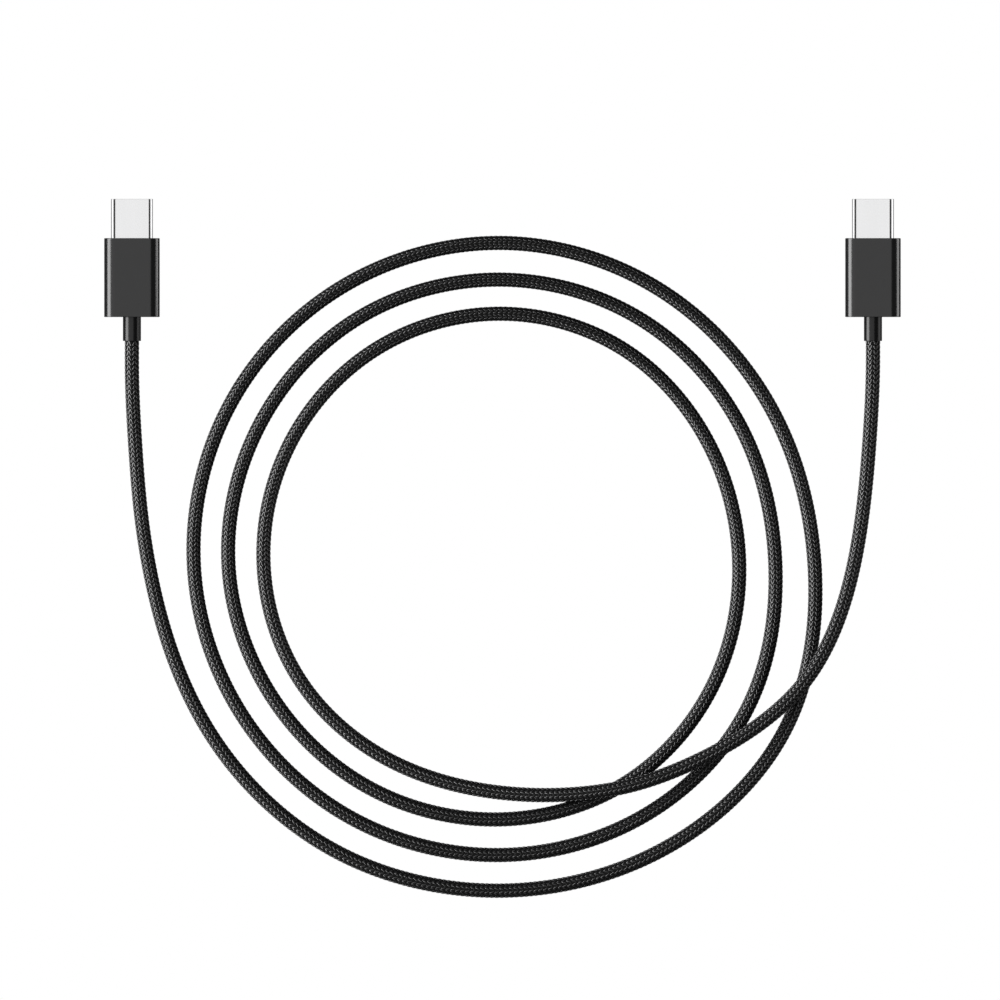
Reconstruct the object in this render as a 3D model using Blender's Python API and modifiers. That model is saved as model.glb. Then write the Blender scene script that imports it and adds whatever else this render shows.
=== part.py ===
"""A braided charging cable with a reversible plug on each end, lying in three loose turns.

Frame: metres, +Z up, z = 0 is the surface that the cable lies on. The origin is midway between
the two plugs, +X runs from plug A to plug B, and +Y is the way that both plugs push into a socket.
Both plugs lie flat, side by side, and the braided cord runs from one to the other.
"""

import math

import bmesh
import bpy
import numpy as np

MM = 0.001

# Plug positions along X, and the faces of a plug along Y.
PLUG_X = 72.77 * MM
TIP_Y = 13.95 * MM
SHELL_EXPOSED = 7.7 * MM
HOUSING_LENGTH = 15.5 * MM
RELIEF_LENGTH = 4.7 * MM
FRONT_Y = TIP_Y - SHELL_EXPOSED
REAR_Y = FRONT_Y - HOUSING_LENGTH
EXIT_Y = REAR_Y - RELIEF_LENGTH

# Housing: an outer sleeve, open in front, with a round hole in its rear wall.
HOUSING_WIDTH = 10.9 * MM
HOUSING_THICKNESS = 4.8 * MM
HOUSING_RADIUS = 2.1 * MM
HOUSING_WALL = 0.75 * MM
HOUSING_REAR_WALL = 1.2 * MM
HOUSING_EDGE = 0.15 * MM
PLUG_Z = HOUSING_THICKNESS / 2

# The inner mould fills the sleeve's mouth and holds the metal shell.
MOULD_FRONT = FRONT_Y - 0.1 * MM
MOULD_REAR = FRONT_Y - 4.6 * MM

# Strain relief: a round barrel, held by a flange behind the housing's rear wall.
RELIEF_DIAMETER = 3.55 * MM
RELIEF_SOCKET = 3.0 * MM
RELIEF_SOCKET_DEPTH = 1.6 * MM
FLANGE_WIDTH = 6.0 * MM
FLANGE_LENGTH = 1.5 * MM

# Metal shell of the reversible 24-position plug: full round ends.
SHELL_WIDTH = 8.25 * MM
SHELL_HEIGHT = 2.4 * MM
SHELL_WALL = 0.3 * MM
SHELL_REAR = FRONT_Y - 4.4 * MM
SHELL_EDGE = 0.04 * MM

# Insulator: lines the shell, with the slot that takes the socket's tongue.
INSULATOR_FRONT = TIP_Y - 0.25 * MM
INSULATOR_REAR = 3.0 * MM
SLOT_WIDTH = 6.8 * MM
SLOT_HEIGHT = 1.02 * MM
LATCH_CHANNEL_FRONT = TIP_Y - 1.0 * MM
LATCH_CHANNEL_HEIGHT = 0.72 * MM
# Recess in the slot's roof and floor, where the contacts' flared ends rise over the tongue.
RECESS_WIDTH = 6.0 * MM
RECESS_HEIGHT = 1.3 * MM
RECESS_FRONT = 12.3 * MM
RECESS_REAR = 11.5 * MM
SPACER_WIDTH = 6.4 * MM
SPACER_HEIGHT = 0.44 * MM
SPACER_FRONT = 7.6 * MM

# Spring contacts, at the standard pitch; both rows are alike, turned half round.
CONTACT_PITCH = 0.5 * MM
CONTACT_WIDTH = 0.25 * MM
CONTACT_THICKNESS = 0.12 * MM
CONTACT_HINGE_Y = 3.0 * MM
CONTACT_ROOT_Z = 0.39 * MM
UPPER_ROW = {"a1": 1, "a4": 4, "a5": 5, "a6": 6, "a7": 7, "a9": 9, "a12": 12}
LOWER_ROW = {"b1": 1, "b4": 4, "b9": 9, "b12": 12}

# Side latches: spring arms with a hook that snaps into the tongue's side notches.
LATCH_X = 3.46 * MM
LATCH_HINGE_Y = 3.5 * MM
LATCH_THICKNESS = 0.18 * MM
LATCH_HEIGHT = 0.6 * MM
LATCH_HOOK = 0.19 * MM

# Ground springs: bent strips just inside the mouth, over and under the slot.
GROUND_SPRING_WIDTH = 4.8 * MM
GROUND_SPRING_THICKNESS = 0.08 * MM

# Circuit board, its capacitor, and the wires' crimp ring.
BOARD_WIDTH = 6.5 * MM
BOARD_FRONT = 2.6 * MM
BOARD_REAR = -3.2 * MM
BOARD_THICKNESS = 0.5 * MM
CAPACITOR_SIZE = (1.0 * MM, 0.5 * MM, 0.5 * MM)
FERRULE_DIAMETER = 3.0 * MM
FERRULE_BORE = 2.5 * MM
FERRULE_LENGTH = 1.7 * MM
WIRE_DIAMETER = 0.5 * MM
WIRE_CIRCLE = 0.75 * MM

# Clearance between parts that are pushed into one another, all round.
FIT = 0.03 * MM

# The cord, and the height of its centre where it lies on the surface.
CORD_DIAMETER = 2.8 * MM
FLOOR_Z = 1.42 * MM
CORD_TUBE_POINTS = 84

# Route of the cord's centre, in millimetres: out of plug A and down to the surface.
LEAD_IN = [
    (-72.77, -14.25, 2.4), (-72.77, -20.0, 2.1), (-72.15, -34.0, 1.45), (-70.85, -49.0, 1.42),
    (-69.45, -58.0, 1.42),
]
# Distances of the turns from their centre, at each twelfth of a circle, counter-clockwise.
TURNS_CENTRE = (0.0, -58.0)
TWELFTH = 30
FIRST_ANGLE = 210
TURN_RADII = [
    66.2, 65.0, 63.9, 64.1, 64.2,
    61.3, 61.1, 62.3, 63.3, 63.1, 62.1, 60.6, 59.0, 57.8, 56.9, 56.5, 55.7,
    53.6, 54.1, 55.4, 56.1, 56.2, 55.1, 53.8, 52.1, 50.9, 49.9, 49.1, 47.6,
    46.5, 47.0, 48.6, 49.4, 49.2, 48.1, 46.9, 45.7,
]
# Up and over the three turns in one long low hump, then down and back up into plug B.
LEAD_OUT = [
    (-21.95, -96.4, 1.55), (0.05, -102.7, 2.7), (16.25, -102.75, 3.9), (25.15, -101.25, 4.35),
    (33.85, -98.35, 4.35), (42.85, -94.05, 4.35), (52.05, -88.05, 4.35), (59.25, -81.0, 4.35),
    (65.6, -69.6, 3.1), (69.0, -58.0, 1.75), (71.0, -45.5, 1.42), (72.2, -31.8, 1.45),
    (72.75, -19.7, 2.1), (72.77, -14.25, 2.4),
]


# ---------------------------------------------------------------- scene and materials

def clear_scene():
    """Remove every object and mesh that the scene holds."""
    for item in list(bpy.data.objects):
        bpy.data.objects.remove(item, do_unlink=True)
    for collection in list(bpy.data.collections):
        bpy.data.collections.remove(collection)


def make_collection(name):
    collection = bpy.data.collections.new(name)
    bpy.context.scene.collection.children.link(collection)
    return collection


def make_material(name, color, roughness, metallic=0.0):
    material = bpy.data.materials.new(name)
    material.use_nodes = True
    shader = material.node_tree.nodes["Principled BSDF"]
    shader.inputs["Base Color"].default_value = (*color, 1.0)
    shader.inputs["Roughness"].default_value = roughness
    shader.inputs["Metallic"].default_value = metallic
    material.diffuse_color = (*color, 1.0)
    return material


clear_scene()
CABLE = make_collection("charging_cable")
CUTTERS = make_collection("cutters")

MATERIALS = {
    "braid": make_material("braid", (0.012, 0.012, 0.013), 0.5),
    "housing": make_material("housing", (0.035, 0.035, 0.037), 0.35),
    "relief": make_material("relief", (0.025, 0.025, 0.027), 0.4),
    "mould": make_material("mould", (0.02, 0.02, 0.022), 0.5),
    "steel": make_material("steel", (0.75, 0.75, 0.76), 0.2, 1.0),
    "insulator": make_material("insulator", (0.015, 0.015, 0.017), 0.45),
    "gold": make_material("gold", (0.9, 0.65, 0.3), 0.25, 1.0),
    "board": make_material("board", (0.02, 0.12, 0.06), 0.45),
    "ceramic": make_material("ceramic", (0.45, 0.33, 0.22), 0.5),
    "copper": make_material("copper", (0.8, 0.5, 0.35), 0.3, 1.0),
    "wire_red": make_material("wire_red", (0.5, 0.02, 0.02), 0.5),
    "wire_black": make_material("wire_black", (0.02, 0.02, 0.02), 0.5),
    "wire_green": make_material("wire_green", (0.03, 0.3, 0.06), 0.5),
    "wire_white": make_material("wire_white", (0.8, 0.8, 0.78), 0.5),
    "wire_blue": make_material("wire_blue", (0.03, 0.08, 0.45), 0.5),
}


# ---------------------------------------------------------------- shapes

def link(name, data, material=None, parent=None, collection=None):
    """Put an object in a collection, under a parent that stays where it is."""
    item = bpy.data.objects.new(name, data)
    (collection or CABLE).objects.link(item)
    if material:
        item.data.materials.append(MATERIALS[material])
    item.parent = parent
    return item


def rounded_outline(width, height, radius, steps=6):
    """Corner points of a rectangle with round corners, counter-clockwise."""
    points = []
    for quarter, (side_x, side_y) in enumerate([(1, 1), (-1, 1), (-1, -1), (1, -1)]):
        centre_x = side_x * (width / 2 - radius)
        centre_y = side_y * (height / 2 - radius)
        for step in range(steps + 1):
            angle = math.radians(90 * (quarter + step / steps))
            points.append((centre_x + radius * math.cos(angle), centre_y + radius * math.sin(angle)))
    return points


def full_round_outline(width, height):
    """A rectangle whose two short sides are half circles."""
    return rounded_outline(width, height, height / 2 * 0.9999)


def circle_outline(diameter, sides=24):
    angles = [math.tau * side / sides for side in range(sides)]
    return [(diameter / 2 * math.cos(angle), diameter / 2 * math.sin(angle)) for angle in angles]


def strip_outline(centre_line, thickness):
    """The closed outline of a thin bent strip, from the points of its centre line."""
    over = [(along, height + thickness / 2) for along, height in centre_line]
    under = [(along, height - thickness / 2) for along, height in centre_line]
    return over + under[::-1]


def extruded_mesh(name, outlines, length):
    """A closed mesh: flat outlines, the second one a hole, drawn out to a length about z = 0."""
    curve = bpy.data.curves.new(name, "CURVE")
    curve.dimensions = "2D"
    curve.fill_mode = "BOTH"
    curve.extrude = length / 2
    for outline in outlines:
        spline = curve.splines.new("POLY")
        spline.points.add(len(outline) - 1)
        for point, (x, y) in zip(spline.points, outline):
            point.co = (x, y, 0.0, 1.0)
        spline.use_cyclic_u = True
    drawn = bpy.data.objects.new(name, curve)
    bpy.context.scene.collection.objects.link(drawn)
    evaluated = drawn.evaluated_get(bpy.context.evaluated_depsgraph_get())
    mesh = bpy.data.meshes.new_from_object(evaluated)
    bpy.data.objects.remove(drawn, do_unlink=True)
    weld(mesh)
    mesh.name = name
    return mesh


def weld(mesh):
    """Join the loose caps to the sides and face everything outwards."""
    work = bmesh.new()
    work.from_mesh(mesh)
    bmesh.ops.remove_doubles(work, verts=work.verts, dist=0.001 * MM)
    bmesh.ops.recalc_face_normals(work, faces=work.faces)
    work.to_mesh(mesh)
    work.free()


def soften(item, angle=40):
    """Smooth shading that keeps the real edges sharp."""
    item.data.shade_smooth()
    item.data.set_sharp_from_angle(angle=math.radians(angle))


def bevel_rims(item, width, segments=2):
    """Round the rims, where faces meet at a steep angle."""
    modifier = item.modifiers.new("rims", "BEVEL")
    modifier.width = width
    modifier.segments = segments
    modifier.limit_method = "ANGLE"
    modifier.angle_limit = math.radians(40)


def combine(item, tool, operation):
    """Cut a tool out of an item, or join it on, and put the tool away with the cutters."""
    modifier = item.modifiers.new(tool.name, "BOOLEAN")
    modifier.operation = operation
    modifier.solver = "EXACT"
    modifier.object = tool
    tool.hide_render = True
    tool.display_type = "WIRE"


def along_y(name, outlines, front, rear, material=None, parent=None, collection=None):
    """An outline in the X-Z plane, drawn from a rear face to a front face along Y."""
    item = link(name, extruded_mesh(name, outlines, front - rear), material, parent, collection)
    item.rotation_euler = (math.pi / 2, 0.0, 0.0)
    item.location = (0.0, (front + rear) / 2, 0.0)
    return item


def box_tool(name, size, centre, parent):
    """A closed box among the cutters."""
    mesh = bpy.data.meshes.new(name)
    work = bmesh.new()
    bmesh.ops.create_cube(work, size=1.0)
    bmesh.ops.scale(work, vec=size, verts=work.verts)
    work.to_mesh(mesh)
    work.free()
    tool = link(name, mesh, None, parent, CUTTERS)
    tool.location = centre
    return tool


def smooth_route(points, count):
    """Points spread evenly along the natural cubic spline through the given points."""
    knots = np.array(points, dtype=float)
    chords = np.linalg.norm(np.diff(knots, axis=0), axis=1)
    at = np.concatenate([[0.0], np.cumsum(chords)])
    last = len(knots) - 1
    system = np.eye(last + 1)
    bends = np.zeros_like(knots)
    for i in range(1, last):
        before, after = chords[i - 1], chords[i]
        system[i, i - 1:i + 2] = (before, 2 * (before + after), after)
        bends[i] = 6 * ((knots[i + 1] - knots[i]) / after - (knots[i] - knots[i - 1]) / before)
    second = np.linalg.solve(system, bends)

    def position(where):
        span = np.clip(np.searchsorted(at, where, side="right") - 1, 0, last - 1)
        width = chords[span][:, None]
        right = ((where - at[span])[:, None]) / width
        left = 1.0 - right
        straight = left * knots[span] + right * knots[span + 1]
        curve = (left ** 3 - left) * second[span] + (right ** 3 - right) * second[span + 1]
        return straight + curve * width ** 2 / 6

    fine = position(np.linspace(0.0, at[-1], 60 * last))
    travelled = np.concatenate([[0.0], np.cumsum(np.linalg.norm(np.diff(fine, axis=0), axis=1))])
    even = np.linspace(0.0, travelled[-1], count)
    return np.stack([np.interp(even, travelled, fine[:, axis]) for axis in range(3)], axis=1)


def tube(name, points, diameter, material, parent=None):
    """A round tube with closed ends, along points that are already smooth."""
    curve = bpy.data.curves.new(name, "CURVE")
    curve.dimensions = "3D"
    curve.bevel_depth = diameter / 2
    curve.bevel_resolution = 2
    curve.render_resolution_u = 0
    curve.use_fill_caps = True
    spline = curve.splines.new("POLY")
    spline.points.add(len(points) - 1)
    for point, place in zip(spline.points, points):
        point.co = (*place, 1.0)
    return link(name, curve, material, parent)


# ---------------------------------------------------------------- one plug

def make_housing(plug, prefix):
    """The black sleeve: open in front, closed behind apart from the hole for the strain relief."""
    outer = rounded_outline(HOUSING_WIDTH, HOUSING_THICKNESS, HOUSING_RADIUS)
    housing = along_y(prefix + "housing", [outer], FRONT_Y, REAR_Y, "housing", plug)
    bevel_rims(housing, HOUSING_EDGE)
    cavity = along_y(
        prefix + "cavity_cutter", [cavity_outline(0.0)], FRONT_Y + 1 * MM, REAR_Y + HOUSING_REAR_WALL,
        parent=plug, collection=CUTTERS)
    hole = along_y(
        prefix + "rear_hole_cutter", [circle_outline(RELIEF_DIAMETER + 2 * FIT)], FRONT_Y, REAR_Y - 1 * MM,
        parent=plug, collection=CUTTERS)
    combine(housing, cavity, "DIFFERENCE")
    combine(housing, hole, "DIFFERENCE")
    soften(housing)


def cavity_outline(clearance):
    """Inner outline of the housing, drawn in by a clearance all round."""
    inset = HOUSING_WALL + clearance
    return rounded_outline(
        HOUSING_WIDTH - 2 * inset, HOUSING_THICKNESS - 2 * inset, HOUSING_RADIUS - inset)


def make_inner_mould(plug, prefix):
    """The block in the housing's mouth, with the slot that grips the metal shell."""
    slot = full_round_outline(SHELL_WIDTH + 2 * FIT, SHELL_HEIGHT + 2 * FIT)
    mould = along_y(
        prefix + "inner_mould", [cavity_outline(FIT), slot], MOULD_FRONT, MOULD_REAR, "mould", plug)
    soften(mould)


def make_strain_relief(plug, prefix):
    """The barrel, its flange in the housing, and the cord's socket. Returns the flange's front face."""
    flange_rear = REAR_Y + HOUSING_REAR_WALL + FIT
    flange_front = flange_rear + FLANGE_LENGTH
    barrel = along_y(
        prefix + "strain_relief", [circle_outline(RELIEF_DIAMETER)], flange_rear + FIT, EXIT_Y,
        "relief", plug)
    bevel_rims(barrel, 0.1 * MM)
    height = HOUSING_THICKNESS - 2 * (HOUSING_WALL + FIT)
    flange = along_y(
        prefix + "flange_tool", [rounded_outline(FLANGE_WIDTH, height, 0.6 * MM)],
        flange_front, flange_rear, parent=plug, collection=CUTTERS)
    socket = along_y(
        prefix + "socket_cutter", [circle_outline(RELIEF_SOCKET)],
        EXIT_Y + RELIEF_SOCKET_DEPTH, EXIT_Y - 1 * MM, parent=plug, collection=CUTTERS)
    combine(barrel, flange, "UNION")
    combine(barrel, socket, "DIFFERENCE")
    soften(barrel)
    return flange_front


def make_plug_shell(plug, prefix):
    """The drawn metal shell: one thin wall with full round ends."""
    outer = full_round_outline(SHELL_WIDTH, SHELL_HEIGHT)
    inner = full_round_outline(SHELL_WIDTH - 2 * SHELL_WALL, SHELL_HEIGHT - 2 * SHELL_WALL)
    shell = along_y(prefix + "plug_shell", [outer, inner], TIP_Y, SHELL_REAR, "steel", plug)
    bevel_rims(shell, SHELL_EDGE)
    soften(shell)


def make_insulator(plug, prefix):
    """The black lining of the shell, slotted for the tongue and open at the sides for the latches."""
    inset = SHELL_WALL + 0.04 * MM
    outline = full_round_outline(SHELL_WIDTH - 2 * inset, SHELL_HEIGHT - 2 * inset)
    insulator = along_y(
        prefix + "insulator", [outline], INSULATOR_FRONT, INSULATOR_REAR, "insulator", plug)
    middle = (INSULATOR_FRONT + INSULATOR_REAR) / 2
    slot = box_tool(
        prefix + "slot_cutter", (SLOT_WIDTH, 20 * MM, SLOT_HEIGHT), (0.0, middle, 0.0), plug)
    channel_rear = INSULATOR_REAR - 1 * MM
    channel = box_tool(
        prefix + "latch_channel_cutter",
        (SHELL_WIDTH, LATCH_CHANNEL_FRONT - channel_rear, LATCH_CHANNEL_HEIGHT),
        (0.0, (LATCH_CHANNEL_FRONT + channel_rear) / 2, 0.0), plug)
    recess = box_tool(
        prefix + "recess_cutter", (RECESS_WIDTH, RECESS_FRONT - RECESS_REAR, RECESS_HEIGHT),
        (0.0, (RECESS_FRONT + RECESS_REAR) / 2, 0.0), plug)
    combine(insulator, slot, "DIFFERENCE")
    combine(insulator, channel, "DIFFERENCE")
    combine(insulator, recess, "DIFFERENCE")
    spacer = along_y(
        prefix + "contact_spacer", [rounded_outline(SPACER_WIDTH, SPACER_HEIGHT, 0.1 * MM, 2)],
        SPACER_FRONT, INSULATOR_REAR, "insulator", plug)
    soften(insulator)
    soften(spacer)


def make_contact_row(plug, prefix, row, half_turn):
    """Spring contacts side by side, on an empty that stands on the row's bending axis."""
    axis = link(prefix + "contact_axis_" + min(row), None, parent=plug)
    root_z = -CONTACT_ROOT_Z if half_turn else CONTACT_ROOT_Z
    axis.location = (0.0, CONTACT_HINGE_Y, root_z)
    axis.rotation_euler = (0.0, math.pi if half_turn else 0.0, 0.0)
    # Along and height from the bending axis: solder tail, spring arm, contact point, flared end.
    centre_line = [
        (-2.0 * MM, 0.0), (0.0, 0.0), (8.1 * MM, -0.136 * MM), (8.4 * MM, -0.14 * MM),
        (8.7 * MM, -0.12 * MM), (9.1 * MM, -0.05 * MM),
    ]
    mesh = extruded_mesh(
        prefix + "contact", [strip_outline(centre_line, CONTACT_THICKNESS)], CONTACT_WIDTH)
    mesh.materials.append(MATERIALS["gold"])
    for label, position in row.items():
        contact = link(prefix + "contact_" + label, mesh, parent=axis)
        contact.rotation_euler = (math.pi / 2, 0.0, math.pi / 2)
        contact.location = ((position - 6.5) * CONTACT_PITCH, 0.0, 0.0)


def make_latches(plug, prefix):
    """Two spring arms beside the slot, each with its origin on its bending axis."""
    half = LATCH_THICKNESS / 2
    inner = -half - LATCH_HOOK
    outline = [
        (half, -2.5 * MM), (half, 9.1 * MM), (-half, 9.1 * MM), (inner, 8.7 * MM),
        (inner, 8.4 * MM), (-half, 8.0 * MM), (-half, -2.5 * MM),
    ]
    mesh = extruded_mesh(prefix + "latch", [outline], LATCH_HEIGHT)
    mesh.materials.append(MATERIALS["steel"])
    for side, direction in (("left", -1), ("right", 1)):
        latch = link(prefix + "latch_" + side, mesh, parent=plug)
        latch.location = (direction * LATCH_X, LATCH_HINGE_Y, 0.0)
        latch.rotation_euler = (0.0, math.pi if direction < 0 else 0.0, 0.0)


def make_ground_springs(plug, prefix):
    """Bent strips that touch the top and bottom of the tongue near the mouth."""
    centre_line = [(13.3 * MM, 0.45 * MM), (12.95 * MM, 0.38 * MM), (12.6 * MM, 0.40 * MM)]
    mesh = extruded_mesh(
        prefix + "ground_spring", [strip_outline(centre_line, GROUND_SPRING_THICKNESS)],
        GROUND_SPRING_WIDTH)
    mesh.materials.append(MATERIALS["steel"])
    for side, turn in (("top", 0.0), ("bottom", math.pi)):
        holder = link(prefix + "ground_spring_axis_" + side, None, parent=plug)
        holder.rotation_euler = (0.0, turn, 0.0)
        spring = link(prefix + "ground_spring_" + side, mesh, parent=holder)
        spring.rotation_euler = (math.pi / 2, 0.0, math.pi / 2)


def make_board(plug, prefix):
    """The small circuit board behind the contacts, and the capacitor on it."""
    board = along_y(
        prefix + "circuit_board", [rounded_outline(BOARD_WIDTH, BOARD_THICKNESS, 0.05 * MM, 1)],
        BOARD_FRONT, BOARD_REAR, "board", plug)
    soften(board)
    long, wide, high = CAPACITOR_SIZE
    capacitor = along_y(
        prefix + "capacitor", [rounded_outline(long, high, 0.06 * MM, 2)],
        wide / 2, -wide / 2, "ceramic", plug)
    capacitor.location = (0.2 * MM, -0.6 * MM, BOARD_THICKNESS / 2 + high / 2 + FIT)
    soften(capacitor)


def make_wires(plug, prefix, start_y):
    """The crimp ring on the cable's end and five wires, fanned out to both sides of the board."""
    ferrule = along_y(
        prefix + "ferrule", [circle_outline(FERRULE_DIAMETER), circle_outline(FERRULE_BORE)],
        start_y + FERRULE_LENGTH, start_y, "copper", plug)
    soften(ferrule)
    pad_z = BOARD_THICKNESS / 2 + WIRE_DIAMETER / 2 + FIT
    wires = [
        ("wire_red", 162, -2.2 * MM, pad_z), ("wire_white", 90, -0.5 * MM, pad_z),
        ("wire_green", 18, 1.2 * MM, pad_z), ("wire_black", 306, 1.8 * MM, -pad_z),
        ("wire_blue", 234, -1.4 * MM, -pad_z),
    ]
    for name, angle, pad_x, height in wires:
        x = WIRE_CIRCLE * math.cos(math.radians(angle))
        z = WIRE_CIRCLE * math.sin(math.radians(angle))
        lift = math.copysign(0.06 * MM, height)
        knots = [
            (x, start_y + FIT, z), (x, start_y + FERRULE_LENGTH, z),
            ((x + pad_x) / 2, BOARD_REAR - 0.45 * MM, height + lift),
            (pad_x, BOARD_REAR + 0.4 * MM, height), (pad_x, BOARD_REAR + 1.4 * MM, height),
        ]
        tube(prefix + name, smooth_route(knots, 12), WIRE_DIAMETER, name, plug)


def make_plug(prefix, plug_x):
    """Every piece of one plug, placed under an empty at the plug's centre line."""
    plug = link(prefix + "centre", None)
    plug.location = (plug_x, 0.0, PLUG_Z)
    make_housing(plug, prefix)
    make_inner_mould(plug, prefix)
    flange_front = make_strain_relief(plug, prefix)
    make_plug_shell(plug, prefix)
    make_insulator(plug, prefix)
    make_contact_row(plug, prefix, UPPER_ROW, False)
    make_contact_row(plug, prefix, LOWER_ROW, True)
    make_latches(plug, prefix)
    make_ground_springs(plug, prefix)
    make_board(plug, prefix)
    make_wires(plug, prefix, flange_front + 0.1 * MM)


# ---------------------------------------------------------------- the cord

def cord_route():
    """Every point that the cord's centre passes, in metres, from plug A to plug B."""
    centre_x, centre_y = TURNS_CENTRE
    floor = FLOOR_Z / MM
    turns = []
    for step, radius in enumerate(TURN_RADII):
        angle = math.radians(FIRST_ANGLE + TWELFTH * step)
        turns.append((centre_x + radius * math.cos(angle), centre_y + radius * math.sin(angle), floor))
    return [tuple(value * MM for value in point) for point in LEAD_IN + turns + LEAD_OUT]


def make_cord():
    """The cord as a plain tube that starts and ends just short of the two strain reliefs."""
    points = smooth_route(cord_route(), CORD_TUBE_POINTS)
    points[:, 2] = np.maximum(points[:, 2], FLOOR_Z)
    tube("cord", points, CORD_DIAMETER, "braid")


make_plug("plug_a_", -PLUG_X)
make_plug("plug_b_", PLUG_X)
make_cord()
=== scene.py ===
"""Looks of the braided charging cable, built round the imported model.

The script makes the camera and the cord first, then the plugs' visible pieces, and a plain white
studio. Every place comes from the frame or from the named sizes below.
"""

import math

import bmesh
import bpy
import numpy as np
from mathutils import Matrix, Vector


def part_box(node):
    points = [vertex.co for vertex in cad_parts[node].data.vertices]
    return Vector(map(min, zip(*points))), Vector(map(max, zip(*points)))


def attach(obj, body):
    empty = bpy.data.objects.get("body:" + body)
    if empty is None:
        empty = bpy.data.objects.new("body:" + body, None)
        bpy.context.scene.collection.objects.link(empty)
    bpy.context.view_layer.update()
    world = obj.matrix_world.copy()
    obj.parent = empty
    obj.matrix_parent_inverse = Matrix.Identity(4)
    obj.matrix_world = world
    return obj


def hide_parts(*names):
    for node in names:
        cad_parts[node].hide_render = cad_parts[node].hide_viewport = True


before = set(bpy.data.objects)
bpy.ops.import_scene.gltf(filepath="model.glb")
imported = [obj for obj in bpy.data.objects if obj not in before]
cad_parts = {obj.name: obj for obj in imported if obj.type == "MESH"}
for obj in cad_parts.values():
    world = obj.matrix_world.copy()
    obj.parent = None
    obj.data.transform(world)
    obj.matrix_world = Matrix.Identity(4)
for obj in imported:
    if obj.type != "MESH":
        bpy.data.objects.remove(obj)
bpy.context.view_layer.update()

MM = 0.001
PLUGS = ("plug_a_", "plug_b_")

# The view: straight down, with +Y up in the picture.
VIEW_WIDTH = 196.4 * MM
VIEW_CENTRE = (-0.485 * MM, -45.18 * MM)
VIEW_HEIGHT = 0.5

# The cord's route, in millimetres, as the model's own source states it.
FLOOR_Z = 1.42 * MM
LEAD_IN = [
    (-72.77, -14.25, 2.4), (-72.77, -20.0, 2.1), (-72.15, -34.0, 1.45), (-70.85, -49.0, 1.42),
    (-69.45, -58.0, 1.42),
]
TURNS_CENTRE = (0.0, -58.0)
TWELFTH = 30
FIRST_ANGLE = 210
TURN_RADII = [
    66.2, 65.0, 63.9, 64.1, 64.2,
    61.3, 61.1, 62.3, 63.3, 63.1, 62.1, 60.6, 59.0, 57.8, 56.9, 56.5, 55.7,
    53.6, 54.1, 55.4, 56.1, 56.2, 55.1, 53.8, 52.1, 50.9, 49.9, 49.1, 47.6,
    46.5, 47.0, 48.6, 49.4, 49.2, 48.1, 46.9, 45.7,
]
LEAD_OUT = [
    (-21.95, -96.4, 1.55), (0.05, -102.7, 2.7), (16.25, -102.75, 3.9), (25.15, -101.25, 4.35),
    (33.85, -98.35, 4.35), (42.85, -94.05, 4.35), (52.05, -88.05, 4.35), (59.25, -81.0, 4.35),
    (65.6, -69.6, 3.1), (69.0, -58.0, 1.75), (71.0, -45.5, 1.42), (72.2, -31.8, 1.45),
    (72.75, -19.7, 2.1), (72.77, -14.25, 2.4),
]
SOCKET_REACH = 1.2 * MM
POINTS_PER_KNOT = 200

# The braid: yarns of two hands. A float runs straighter than the rest of its yarn, and the floats of
# the two hands lie in pairs along the cord, with a groove between one pair and the next.
YARNS = 28
YARN_LEAD = 13.38 * MM
YARN_TOP = 1.435 * MM
YARN_WAVE = 0.09 * MM
YARN_HALF_WIDTH = 0.15 * MM
YARN_THICKNESS = 0.11 * MM
FLOATS_ROUND = 7
FIRST_FLOAT = -math.pi / 14
PAIR_SHIFT = math.radians(2.5)
FLOAT_STRAIGHTENING = 0.3
RINGS_PER_FLOAT_PAIR = 10
# A yarn's cross-section: places across in half widths, heights in thicknesses.
YARN_SECTION = [(-1.0, 0.0), (-0.85, 0.7), (-0.35, 1.0), (0.35, 1.0), (0.85, 0.7), (1.0, 0.0)]
JACKET_RADIUS = 1.372 * MM
JACKET_RING_STEP = 0.6 * MM
JACKET_SIDES = 16

# The plugs' own sizes that the frame's boxes don't give.
SLEEVE_RADIUS = 2.1 * MM
SLEEVE_WALL = 0.75 * MM
SLEEVE_REAR_WALL = 1.2 * MM
SLEEVE_EDGE = 0.15 * MM
BOOT_DIAMETER = 3.55 * MM
BOOT_SOCKET = 3.0 * MM
BOOT_SOCKET_DEPTH = 1.6 * MM
BOOT_EDGE = 0.12 * MM
FLANGE_LENGTH = 1.5 * MM
FLANGE_CORNER = 0.6 * MM
METAL_WALL = 0.3 * MM
METAL_EDGE = 0.1 * MM
FIT = 0.03 * MM
# Distance from an arc's end to the next point of a flat, which keeps the flat's shading flat.
SUPPORT = 0.05 * MM

# The studio: the floor just under the cable, the backdrop far round it, and the lights.
FLOOR_HALF_SIDE = 2.0
FLOOR_HEIGHT = -0.05 * MM
BACKDROP_RADIUS = 6.0
LIGHT_DISTANCE = 3.0
WORLD_GREY = 0.06


# ---------------------------------------------------------------- camera

def make_camera():
    data = bpy.data.cameras.new("camera")
    data.type = "ORTHO"
    data.ortho_scale = VIEW_WIDTH
    camera = bpy.data.objects.new("camera", data)
    camera.location = (*VIEW_CENTRE, VIEW_HEIGHT)
    bpy.context.scene.collection.objects.link(camera)
    bpy.context.scene.camera = camera


# ---------------------------------------------------------------- meshes

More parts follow.
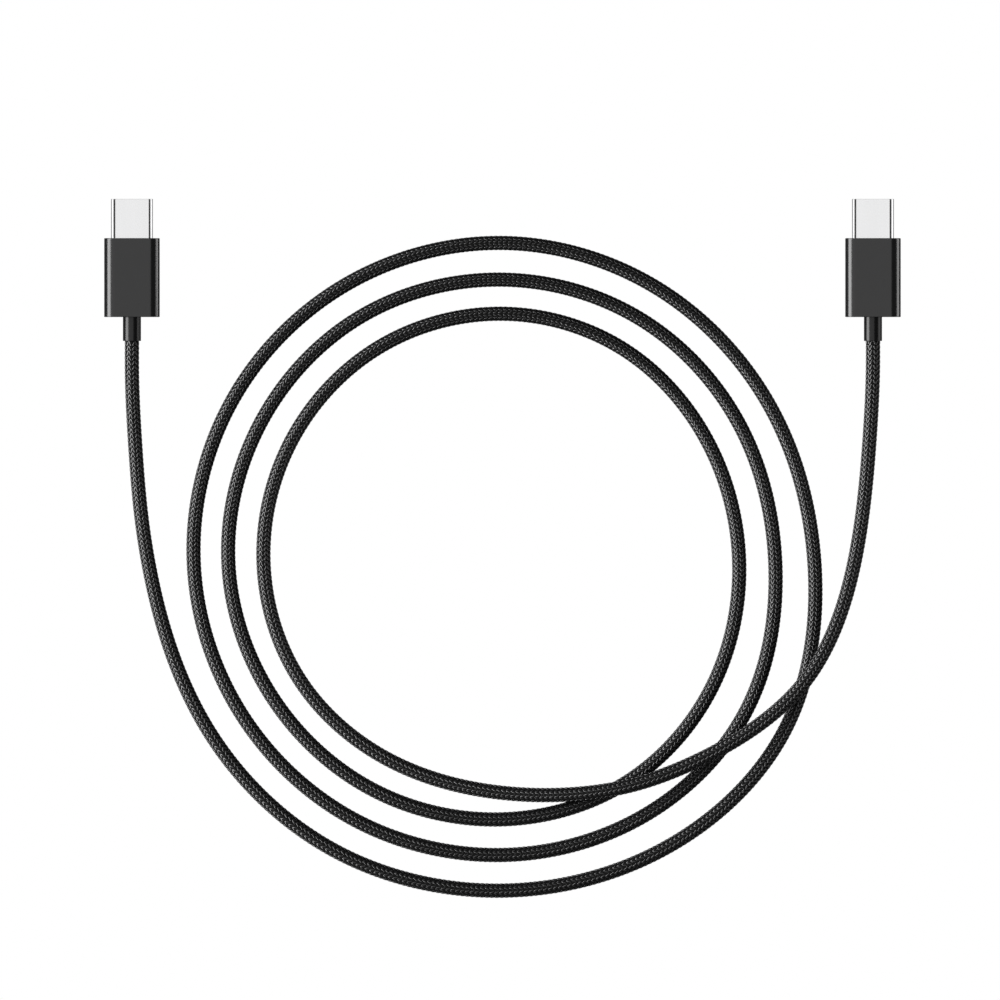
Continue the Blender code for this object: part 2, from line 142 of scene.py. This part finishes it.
def grid_mesh(name, rings, ends="closed", across_and_along=None):
    """A tube through rings of points, given as an array of ring, point and xyz.

    Its ends are closed, or joined to each other. across_and_along holds the place of each point
    across the tube and of each ring along it, and goes into the uv map "yarn".
    """
    count, sides = rings.shape[:2]
    bands = count if ends == "joined" else count - 1
    ring = np.arange(bands)[:, None] * sides
    next_ring = (np.arange(bands)[:, None] + 1) % count * sides
    side = np.arange(sides)[None, :]
    next_side = (side + 1) % sides
    quads = np.stack(
        [ring + side, ring + next_side, next_ring + next_side, next_ring + side], axis=2).reshape(-1, 4)
    corners = quads.ravel()
    starts = np.arange(len(quads)) * 4
    lengths = np.full(len(quads), 4)
    if ends == "closed":
        last = (count - 1) * sides
        caps = np.concatenate([np.arange(sides)[::-1], last + np.arange(sides)])
        starts = np.concatenate([starts, len(corners) + np.array([0, sides])])
        lengths = np.concatenate([lengths, [sides, sides]])
        corners = np.concatenate([corners, caps])
    mesh = bpy.data.meshes.new(name)
    mesh.vertices.add(count * sides)
    mesh.vertices.foreach_set("co", rings.astype(np.float32).ravel())
    mesh.loops.add(len(corners))
    mesh.loops.foreach_set("vertex_index", corners.astype(np.int32))
    mesh.polygons.add(len(starts))
    mesh.polygons.foreach_set("loop_start", starts.astype(np.int32))
    mesh.polygons.foreach_set("loop_total", lengths.astype(np.int32))
    if across_and_along is not None:
        across, along = across_and_along
        layer = mesh.uv_layers.new(name="yarn")
        place = np.zeros((len(corners), 2), np.float32)
        turn = np.tile([0, 1, 1, 0], len(quads))
        column = np.repeat(np.tile(np.arange(sides), bands), 4) + turn
        place[:len(quads) * 4, 0] = np.append(across, across[0] + 1.0)[column]
        place[:len(quads) * 4, 1] = along[quads.ravel() // sides]
        layer.data.foreach_set("uv", place.ravel())
    mesh.update(calc_edges=True)
    mesh.validate()
    mesh.shade_smooth()
    return mesh


def joined_mesh(name, parts):
    """One mesh of several closed bodies, all facing outwards."""
    work = bmesh.new()
    for part in parts:
        work.from_mesh(part)
        bpy.data.meshes.remove(part)
    bmesh.ops.recalc_face_normals(work, faces=work.faces)
    mesh = bpy.data.meshes.new(name)
    work.to_mesh(mesh)
    work.free()
    mesh.shade_smooth()
    return mesh


def link(name, data, material, body="root"):
    piece = bpy.data.objects.new(name, data)
    bpy.context.scene.collection.objects.link(piece)
    piece.data.materials.append(material)
    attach(piece, body)
    return piece


# ---------------------------------------------------------------- the cord's line

def cord_route():
    """Every point that the cord's centre passes, in metres, from plug A to plug B."""
    centre_x, centre_y = TURNS_CENTRE
    floor = FLOOR_Z / MM
    turns = []
    for step, radius in enumerate(TURN_RADII):
        angle = math.radians(FIRST_ANGLE + TWELFTH * step)
        turns.append((centre_x + radius * math.cos(angle), centre_y + radius * math.sin(angle), floor))
    return np.array(LEAD_IN + turns + LEAD_OUT) * MM


def smooth_route(knots, step):
    """Points a step apart along the natural cubic spline through the knots, and their distances."""
    chords = np.linalg.norm(np.diff(knots, axis=0), axis=1)
    at = np.concatenate([[0.0], np.cumsum(chords)])
    last = len(knots) - 1
    system = np.eye(last + 1)
    bends = np.zeros_like(knots)
    for i in range(1, last):
        before, after = chords[i - 1], chords[i]
        system[i, i - 1:i + 2] = (before, 2 * (before + after), after)
        bends[i] = 6 * ((knots[i + 1] - knots[i]) / after - (knots[i] - knots[i - 1]) / before)
    second = np.linalg.solve(system, bends)

    def position(where):
        span = np.clip(np.searchsorted(at, where, side="right") - 1, 0, last - 1)
        width = chords[span][:, None]
        right = ((where - at[span])[:, None]) / width
        left = 1.0 - right
        straight = left * knots[span] + right * knots[span + 1]
        curve = (left ** 3 - left) * second[span] + (right ** 3 - right) * second[span + 1]
        return straight + curve * width ** 2 / 6

    fine = position(np.linspace(0.0, at[-1], POINTS_PER_KNOT * last))
    # Between knots the spline may dip under the surface, and each end reaches into its socket.
    fine[:, 2] = np.maximum(fine[:, 2], FLOOR_Z)
    into = np.array([0.0, SOCKET_REACH, 0.0])
    fine = np.concatenate([[fine[0] + into], fine, [fine[-1] + into]])
    travelled = np.concatenate([[0.0], np.cumsum(np.linalg.norm(np.diff(fine, axis=0), axis=1))])
    even = np.linspace(0.0, travelled[-1], round(travelled[-1] / step) + 1)
    return np.stack([np.interp(even, travelled, fine[:, axis]) for axis in range(3)], axis=1), even


def line_frame(line):
    """Unit vectors to the left and upwards of a line that runs nearly level."""
    ahead = np.gradient(line, axis=0)
    ahead /= np.linalg.norm(ahead, axis=1)[:, None]
    left = np.cross([0.0, 0.0, 1.0], ahead)
    left /= np.linalg.norm(left, axis=1)[:, None]
    return left, np.cross(ahead, left)


# ---------------------------------------------------------------- the cord

def make_jacket(material):
    """The round jacket under the braid, which takes the place of the model's cord."""
    line, _ = smooth_route(cord_route(), JACKET_RING_STEP)
    left, up = line_frame(line)
    angles = -math.tau * np.arange(JACKET_SIDES) / JACKET_SIDES
    rings = line[:, None] + JACKET_RADIUS * (
        np.cos(angles)[None, :, None] * left[:, None] + np.sin(angles)[None, :, None] * up[:, None])
    jacket = link("cord_jacket", grid_mesh("cord_jacket", rings), material)
    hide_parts("cord")
    return jacket, line


def yarn_rings(line, left, up, along, hand, number):
    """The rings of one yarn as it winds round the cord and weaves over and under the others.

    hand is 1 or -1, the way that the yarn winds. turn is 0 on the cord's top.
    """
    turn = math.tau * (hand * along / YARN_LEAD + number / (YARNS / 2))
    phase = FLOATS_ROUND * (turn - FIRST_FLOAT + hand * PAIR_SHIFT)
    base = YARN_TOP - YARN_THICKNESS - YARN_WAVE * (1.0 - hand * np.cos(phase))
    turn = turn - hand * FLOAT_STRAIGHTENING / FLOATS_ROUND * np.sin(phase)
    outward = np.cos(turn)[:, None] * up + np.sin(turn)[:, None] * left
    centre = line + base[:, None] * outward
    forward = np.gradient(centre, axis=0)
    forward /= np.linalg.norm(forward, axis=1)[:, None]
    sideways = np.cross(forward, outward)
    sideways /= np.linalg.norm(sideways, axis=1)[:, None]
    normal = np.cross(sideways, forward)
    across, height = np.array(YARN_SECTION).T
    width = (across * YARN_HALF_WIDTH)[None, :, None] * sideways[:, None]
    depth = (height * YARN_THICKNESS)[None, :, None] * normal[:, None]
    return centre[:, None] + width + depth


def make_braid(material):
    """Fourteen pieces of two yarns each, one of either hand."""
    step = YARN_LEAD / FLOATS_ROUND / RINGS_PER_FLOAT_PAIR
    line, along = smooth_route(cord_route(), step)
    left, up = line_frame(line)
    across = (np.array(YARN_SECTION)[:, 0] + 1.0) / 2
    pieces = []
    for number in range(YARNS // 2):
        work = bmesh.new()
        for hand in (1, -1):
            rings = yarn_rings(line, left, up, along, hand, number)
            part = grid_mesh("yarn", rings, across_and_along=(across, along / MM))
            work.from_mesh(part)
            bpy.data.meshes.remove(part)
        name = f"braid_yarns_{number + 1:02d}"
        mesh = bpy.data.meshes.new(name)
        work.to_mesh(mesh)
        work.free()
        mesh.shade_smooth()
        pieces.append(link(name, mesh, material))
    return pieces


# ---------------------------------------------------------------- outlines and lofts

def rounded(corners, radii, steps=12, run_steps=1, closed=True):
    """A polygon's points with its corners rounded, and a support point on each flat beside an arc.

    radii holds one radius for each corner. A long flat is split into run_steps.
    """
    corners = np.array(corners, dtype=float)
    count = len(corners)
    reaches = np.zeros(count)
    ways = []
    for i in range(count):
        back = corners[i - 1] - corners[i]
        ahead = corners[(i + 1) % count] - corners[i]
        back /= np.linalg.norm(back)
        ahead /= np.linalg.norm(ahead)
        half = math.acos(max(-1.0, min(1.0, float(back @ ahead)))) / 2
        if radii[i] > 0.0:
            reaches[i] = radii[i] / math.tan(half)
        ways.append((back, ahead, half))
    points = []
    for i in range(count):
        back, ahead, half = ways[i]
        if radii[i] > 0.0:
            middle = (back + ahead) / np.linalg.norm(back + ahead)
            centre = corners[i] + middle * radii[i] / math.sin(half)
            first = corners[i] + back * reaches[i] - centre
            final = corners[i] + ahead * reaches[i] - centre
            start = math.atan2(first[1], first[0])
            sweep = math.atan2(first[0] * final[1] - first[1] * final[0], float(first @ final))
            for step in range(steps + 1):
                angle = start + sweep * step / steps
                points.append(centre + radii[i] * np.array([math.cos(angle), math.sin(angle)]))
        else:
            points.append(corners[i])
        if i == count - 1 and not closed:
            break
        following = (i + 1) % count
        flat = np.linalg.norm(corners[following] - corners[i]) - reaches[i] - reaches[following]
        begin = corners[i] + ahead * reaches[i]
        if flat < SUPPORT * 0.01:
            # The next arc starts where this one ends, so one of the two points goes.
            points.pop()
        elif flat > SUPPORT * 3:
            points.append(begin + ahead * SUPPORT)
            for step in range(1, run_steps):
                points.append(begin + ahead * flat * step / run_steps)
            points.append(begin + ahead * (flat - SUPPORT))
    return np.array(points)


def inset_outline(width, height, radius, inset, run_steps=12):
    """A rectangle with round corners, drawn in by an inset all round."""
    right, top = width / 2 - inset, height / 2 - inset
    corners = [(right, -top), (right, top), (-right, top), (-right, -top)]
    return rounded(corners, [radius - inset] * 4, run_steps=run_steps)


def circle_like(outline, radius):
    """A circle with a point on the ray of every point of an outline."""
    angles = np.arctan2(outline[:, 1], outline[:, 0])
    return radius * np.stack([np.cos(angles), np.sin(angles)], axis=1)


def even_circle(radius, sides=64):
    """A circle of evenly spaced points."""
    angles = math.tau * np.arange(sides) / sides
    return radius * np.stack([np.cos(angles), np.sin(angles)], axis=1)


def loft(name, sections, centre, ends="closed"):
    """A mesh through sections, each an outline in X and Z and its place along Y."""
    centre_x, centre_z = centre
    rings = []
    for outline, y in sections:
        rings.append(np.stack([
            centre_x + outline[:, 0], np.full(len(outline), y), centre_z + outline[:, 1]], axis=1))
    return grid_mesh(name, np.array(rings), ends)


# ---------------------------------------------------------------- the plugs

def middle_of(low, high):
    """The middle of a box, seen along Y."""
    return (low[0] + high[0]) / 2, (low[2] + high[2]) / 2


def make_sleeve(prefix, material):
    """The housing: a sleeve with soft rims, open in front, with the strain relief's hole behind."""
    low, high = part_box(prefix + "housing")
    width, height = high[0] - low[0], high[2] - low[2]
    rear, front = low[1], high[1]
    cavity_rear = rear + SLEEVE_REAR_WALL
    edge = SLEEVE_EDGE
    profile = rounded(
        [(3 * edge, rear), (0.0, rear), (0.0, front), (SLEEVE_WALL, front),
         (SLEEVE_WALL, cavity_rear), (SLEEVE_WALL + 3 * edge, cavity_rear)],
        [0.0, edge, edge, edge / 2, edge / 2, 0.0], steps=5, closed=False)
    sections = [(inset_outline(width, height, SLEEVE_RADIUS, inset), y) for inset, y in profile]
    hole = circle_like(sections[0][0], BOOT_DIAMETER / 2 + FIT)
    rim = circle_like(sections[0][0], BOOT_DIAMETER / 2 + FIT + SUPPORT)
    sections += [(rim, cavity_rear), (hole, cavity_rear - SUPPORT), (hole, rear + SUPPORT), (rim, rear)]
    mesh = loft("sleeve", sections, middle_of(low, high), ends="joined")
    name = prefix + "sleeve"
    piece = link(name, joined_mesh(name, [mesh]), material)
    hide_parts(prefix + "housing")
    return piece


def make_boot(prefix, material):
    """The strain relief: a round barrel with a socket for the cord, and its flange in the sleeve."""
    low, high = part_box(prefix + "strain_relief")
    centre = middle_of(low, high)
    tail, front = low[1], high[1]
    flange_rear = front - FLANGE_LENGTH
    radius, socket = BOOT_DIAMETER / 2, BOOT_SOCKET / 2
    floor = tail + BOOT_SOCKET_DEPTH
    edge = BOOT_EDGE
    barrel_profile = rounded(
        [(radius - 3 * edge, flange_rear), (radius, flange_rear), (radius, tail), (socket, tail),
         (socket, floor), (socket - 3 * edge, floor)],
        [0.0, edge / 4, edge, edge / 2, edge / 2, 0.0], steps=5, closed=False)
    barrel = loft("barrel", [(even_circle(across), y) for across, y in barrel_profile], centre)
    flange_profile = rounded(
        [(3 * edge, flange_rear), (0.0, flange_rear), (0.0, front), (3 * edge, front)],
        [0.0, edge, edge, 0.0], steps=4, closed=False)
    width, height = high[0] - low[0], high[2] - low[2]
    sections = [(inset_outline(width, height, FLANGE_CORNER, inset), y) for inset, y in flange_profile]
    flange = loft("flange", sections, centre)
    name = prefix + "boot"
    piece = link(name, joined_mesh(name, [barrel, flange]), material)
    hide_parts(prefix + "strain_relief")
    return piece


def make_metal_shell(prefix, material):
    """The drawn metal shell of the plug, with full round ends and rolled rims."""
    low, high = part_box(prefix + "plug_shell")
    width, height = high[0] - low[0], high[2] - low[2]
    edge = METAL_EDGE
    profile = rounded(
        [(0.0, low[1]), (0.0, high[1]), (METAL_WALL, high[1]), (METAL_WALL, low[1])],
        [edge, edge, edge, edge], steps=4)
    sections = [(inset_outline(width, height, height / 2, inset), y) for inset, y in profile]
    mesh = loft("metal", sections, middle_of(low, high), ends="joined")
    name = prefix + "metal_shell"
    piece = link(name, joined_mesh(name, [mesh]), material)
    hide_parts(prefix + "plug_shell")
    return piece


# ---------------------------------------------------------------- materials

def new_material(name, color, roughness, metallic=0.0, **sockets):
    """A Principled material, and its node tree and shader for whatever detail is added."""
    material = bpy.data.materials.new(name)
    material.use_nodes = True
    tree = material.node_tree
    shader = tree.nodes["Principled BSDF"]
    shader.inputs["Base Color"].default_value = (*color, 1.0)
    shader.inputs["Roughness"].default_value = roughness
    shader.inputs["Metallic"].default_value = metallic
    for socket, value in sockets.items():
        shader.inputs[socket.replace("_", " ")].default_value = value
    return material, tree, shader


def noise(tree, vector, size, stretch=(1.0, 1.0, 1.0), detail=3.0):
    """Noise with features of a size in the vector's own units, longer where stretch is over 1."""
    mapping = tree.nodes.new("ShaderNodeMapping")
    mapping.inputs["Scale"].default_value = tuple(1.0 / (size * longer) for longer in stretch)
    tree.links.new(vector, mapping.inputs["Vector"])
    texture = tree.nodes.new("ShaderNodeTexNoise")
    texture.inputs["Scale"].default_value = 1.0
    texture.inputs["Detail"].default_value = detail
    tree.links.new(mapping.outputs["Vector"], texture.inputs["Vector"])
    return texture.outputs["Fac"]


def spread(tree, value, low, high):
    """A noise value spread from its usual range to a range of the caller's."""
    node = tree.nodes.new("ShaderNodeMapRange")
    node.inputs["From Min"].default_value = 0.3
    node.inputs["From Max"].default_value = 0.7
    node.inputs["To Min"].default_value = low
    node.inputs["To Max"].default_value = high
    tree.links.new(value, node.inputs["Value"])
    return node.outputs["Result"]


def shades(tree, value, dark, light):
    """A colour between two, by a noise value."""
    ramp = tree.nodes.new("ShaderNodeValToRGB")
    ramp.color_ramp.elements[0].position = 0.3
    ramp.color_ramp.elements[1].position = 0.7
    ramp.color_ramp.elements[0].color = (*dark, 1.0)
    ramp.color_ramp.elements[1].color = (*light, 1.0)
    tree.links.new(value, ramp.inputs["Fac"])
    return ramp.outputs["Color"]


def bump(tree, shader, height, strength, distance):
    """Small relief on the surface, as high as distance where strength is 1."""
    node = tree.nodes.new("ShaderNodeBump")
    node.inputs["Strength"].default_value = strength
    node.inputs["Distance"].default_value = distance
    tree.links.new(height, node.inputs["Height"])
    tree.links.new(node.outputs["Normal"], shader.inputs["Normal"])


def grained(name, color, roughness, metallic=0.0, grain=0.05 * MM, contrast=0.08, relief=0.005,
            stretch=(1.0, 1.0, 1.0), **sockets):
    """A material with fine grain: its colour, roughness and surface all vary a little."""
    material, tree, shader = new_material(name, color, roughness, metallic, **sockets)
    place = tree.nodes.new("ShaderNodeTexCoord").outputs["Object"]
    cloud = noise(tree, place, 30 * grain, stretch)
    fine = noise(tree, place, grain, stretch)
    dark = tuple(channel * (1.0 - contrast) for channel in color)
    light = tuple(min(1.0, channel * (1.0 + contrast)) for channel in color)
    tree.links.new(shades(tree, cloud, dark, light), shader.inputs["Base Color"])
    rough = spread(tree, fine, roughness * (1.0 - contrast), roughness * (1.0 + contrast))
    tree.links.new(rough, shader.inputs["Roughness"])
    bump(tree, shader, fine, relief, 0.1 * grain)
    return material


def braid_material():
    """Satin nylon: each yarn is a bundle of fine filaments that run along it."""
    material, tree, shader = new_material("braid_yarn", (0.002, 0.002, 0.0022), 0.25)
    place = tree.nodes.new("ShaderNodeUVMap")
    place.uv_map = "yarn"
    filaments = noise(tree, place.outputs["UV"], 0.1, (1.0, 12.0, 1.0), detail=1.0)
    patches = noise(tree, place.outputs["UV"], 0.5, (1.0, 3.0, 1.0), detail=1.0)
    color = shades(tree, filaments, (0.0012, 0.0012, 0.0014), (0.003, 0.003, 0.0033))
    tree.links.new(color, shader.inputs["Base Color"])
    tree.links.new(spread(tree, patches, 0.2, 0.3), shader.inputs["Roughness"])
    bump(tree, shader, filaments, 0.1, 0.004 * MM)
    return material


MATERIALS = {
    "braid": braid_material(),
    "jacket": grained("cord_jacket", (0.002, 0.002, 0.002), 0.7, Specular_IOR_Level=0.05),
    "sleeve": grained("sleeve_plastic", (0.005, 0.005, 0.0052), 0.2),
    "boot": grained("boot_plastic", (0.004, 0.004, 0.0042), 0.2, Specular_IOR_Level=0.3),
    "mould": grained("mould_plastic", (0.012, 0.012, 0.012), 0.5),
    "insulator": grained("insulator_plastic", (0.01, 0.01, 0.011), 0.35),
    "nickel": grained(
        "nickel_plate", (0.86, 0.86, 0.865), 0.1, 1.0, contrast=0.012, relief=0.01,
        stretch=(1.0, 14.0, 1.0)),
    "spring": grained(
        "spring_steel", (0.62, 0.61, 0.6), 0.22, 1.0, contrast=0.06, stretch=(1.0, 14.0, 1.0)),
    "gold": grained("gold_plate", (0.92, 0.66, 0.27), 0.2, 1.0, contrast=0.06, relief=0.1),
    "board": grained("solder_mask", (0.012, 0.11, 0.045), 0.3, contrast=0.2),
    "ceramic": grained("ceramic", (0.42, 0.3, 0.19), 0.4, contrast=0.1),
    "tin": grained("tinned_copper", (0.78, 0.62, 0.5), 0.3, 1.0, contrast=0.08),
    "wire_red": grained("red_insulation", (0.5, 0.02, 0.02), 0.4),
    "wire_black": grained("black_insulation", (0.015, 0.015, 0.015), 0.4),
    "wire_green": grained("green_insulation", (0.03, 0.3, 0.06), 0.4),
    "wire_white": grained("white_insulation", (0.8, 0.8, 0.77), 0.4, contrast=0.04),
    "wire_blue": grained("blue_insulation", (0.03, 0.08, 0.45), 0.4),
}

# The material of each kept CAD node, by how its name goes on after the plug's prefix. The first
# start that fits counts.
KEPT_NODES = {
    "inner_mould": "mould", "insulator": "insulator", "contact_spacer": "insulator",
    "contact_": "gold", "latch_": "spring", "ground_spring_": "spring",
    "circuit_board": "board", "capacitor": "ceramic", "ferrule": "tin",
    "wire_red": "wire_red", "wire_black": "wire_black", "wire_green": "wire_green",
    "wire_white": "wire_white", "wire_blue": "wire_blue",
}


def paint_kept_nodes():
    """Give every CAD node that stays in sight a finished material."""
    for node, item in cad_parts.items():
        own_name = node.split("_", 2)[-1]
        for start, material in KEPT_NODES.items():
            if own_name.startswith(start):
                for slot in item.material_slots:
                    slot.material = MATERIALS[material]
                break


# ---------------------------------------------------------------- studio

def glow_material():
    """Plain white that shines by itself, so no shadow or shade falls on it."""
    material = bpy.data.materials.new("stage")
    material.use_nodes = True
    tree = material.node_tree
    tree.nodes.clear()
    glow = tree.nodes.new("ShaderNodeEmission")
    glow.inputs["Color"].default_value = (1.0, 1.0, 1.0, 1.0)
    out = tree.nodes.new("ShaderNodeOutputMaterial")
    tree.links.new(glow.outputs["Emission"], out.inputs["Surface"])
    return material


def make_stage():
    """A plain white floor and a white sphere far round it, which only the camera sees."""
    material = glow_material()
    floor, backdrop = bmesh.new(), bmesh.new()
    bmesh.ops.create_grid(floor, x_segments=1, y_segments=1, size=FLOOR_HALF_SIDE)
    bmesh.ops.create_uvsphere(backdrop, u_segments=32, v_segments=16, radius=BACKDROP_RADIUS)
    for name, work, height in (("floor", floor, FLOOR_HEIGHT), ("backdrop", backdrop, 0.0)):
        mesh = bpy.data.meshes.new(name)
        work.to_mesh(mesh)
        work.free()
        mesh.materials.append(material)
        item = bpy.data.objects.new(name, mesh)
        item.location.z = height
        bpy.context.scene.collection.objects.link(item)
        item.visible_diffuse = False
        item.visible_glossy = False
        item.visible_transmission = False
        item.visible_shadow = False


# Panels for each kind of piece: name, angle from the zenith, azimuth, width across and length along
# (all in degrees, as seen from the cable), and radiance.
PANELS = {
    "sleeve": [
        ("overhead", 16, 180, 66, 110, 1.0),
        ("left", 68, 180, 37, 100, 9.6),
        ("right", 96, 0, 32, 100, 4.0),
    ],
    "cord": [
        ("overhead", 16, 180, 66, 110, 1.0),
        ("left", 70, 180, 34, 100, 18.0),
        ("right", 90, 0, 40, 100, 1.6),
    ],
    "other": [
        ("overhead", 16, 180, 66, 110, 1.0),
        ("left", 68, 180, 37, 100, 9.6),
        ("right", 90, 0, 40, 100, 1.6),
    ],
    "metal": [
        ("overhead", 0, 0, 69, 120, 0.9),
        ("left", 95, 180, 43, 100, 1.2),
        ("right", 95, 0, 43, 100, 1.2),
        ("tip_side", 85, 90, 43, 60, 0.6),
        ("cord_side", 85, 270, 43, 60, 0.6),
        ("under", 180, 0, 100, 120, 0.35),
    ],
}


def panel(name, from_zenith, azimuth, across, along, radiance, receivers):
    """A soft panel at these angles, which lights the receivers only; azimuth 180 is the left."""
    data = bpy.data.lights.new(name, "AREA")
    data.shape = "RECTANGLE"
    data.size = 2 * LIGHT_DISTANCE * math.tan(math.radians(across) / 2)
    data.size_y = 2 * LIGHT_DISTANCE * math.tan(math.radians(along) / 2)
    data.energy = radiance * math.pi * data.size * data.size_y
    light = bpy.data.objects.new(name, data)
    tilt, turn = math.radians(from_zenith), math.radians(azimuth)
    light.rotation_euler = (0.0, tilt, turn)
    light.location = (
        LIGHT_DISTANCE * math.sin(tilt) * math.cos(turn),
        LIGHT_DISTANCE * math.sin(tilt) * math.sin(turn) + VIEW_CENTRE[1],
        LIGHT_DISTANCE * math.cos(tilt),
    )
    bpy.context.scene.collection.objects.link(light)
    light.light_linking.receiver_collection = receivers
    light.visible_camera = False


def group(name, pieces):
    """A collection outside the scene's own, for lights that reach only some pieces."""
    collection = bpy.data.collections.new(name)
    for piece in pieces:
        collection.objects.link(piece)
    return collection


def make_lights(lit_pieces):
    """Panels for each set of pieces: the sides of each one see their own reflections."""
    for kind, panels in PANELS.items():
        receivers = group(kind + "_pieces", lit_pieces[kind])
        for name, from_zenith, azimuth, across, along, radiance in panels:
            panel(f"{kind}_{name}", from_zenith, azimuth, across, along, radiance, receivers)
    world = bpy.data.worlds.new("studio")
    world.use_nodes = True
    background = world.node_tree.nodes["Background"]
    background.inputs["Color"].default_value = (WORLD_GREY, WORLD_GREY, WORLD_GREY, 1.0)
    bpy.context.scene.world = world
    bpy.context.scene.view_settings.view_transform = "Standard"


make_camera()
jacket, jacket_line = make_jacket(MATERIALS["jacket"])
braid = make_braid(MATERIALS["braid"])
sleeves = [make_sleeve(prefix, MATERIALS["sleeve"]) for prefix in PLUGS]
boots = [make_boot(prefix, MATERIALS["boot"]) for prefix in PLUGS]
metal_shells = [make_metal_shell(prefix, MATERIALS["nickel"]) for prefix in PLUGS]
paint_kept_nodes()
make_stage()
kept = [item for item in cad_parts.values() if not item.hide_render]
make_lights({
    "sleeve": sleeves, "cord": [jacket, *braid], "other": [*boots, *kept], "metal": metal_shells})
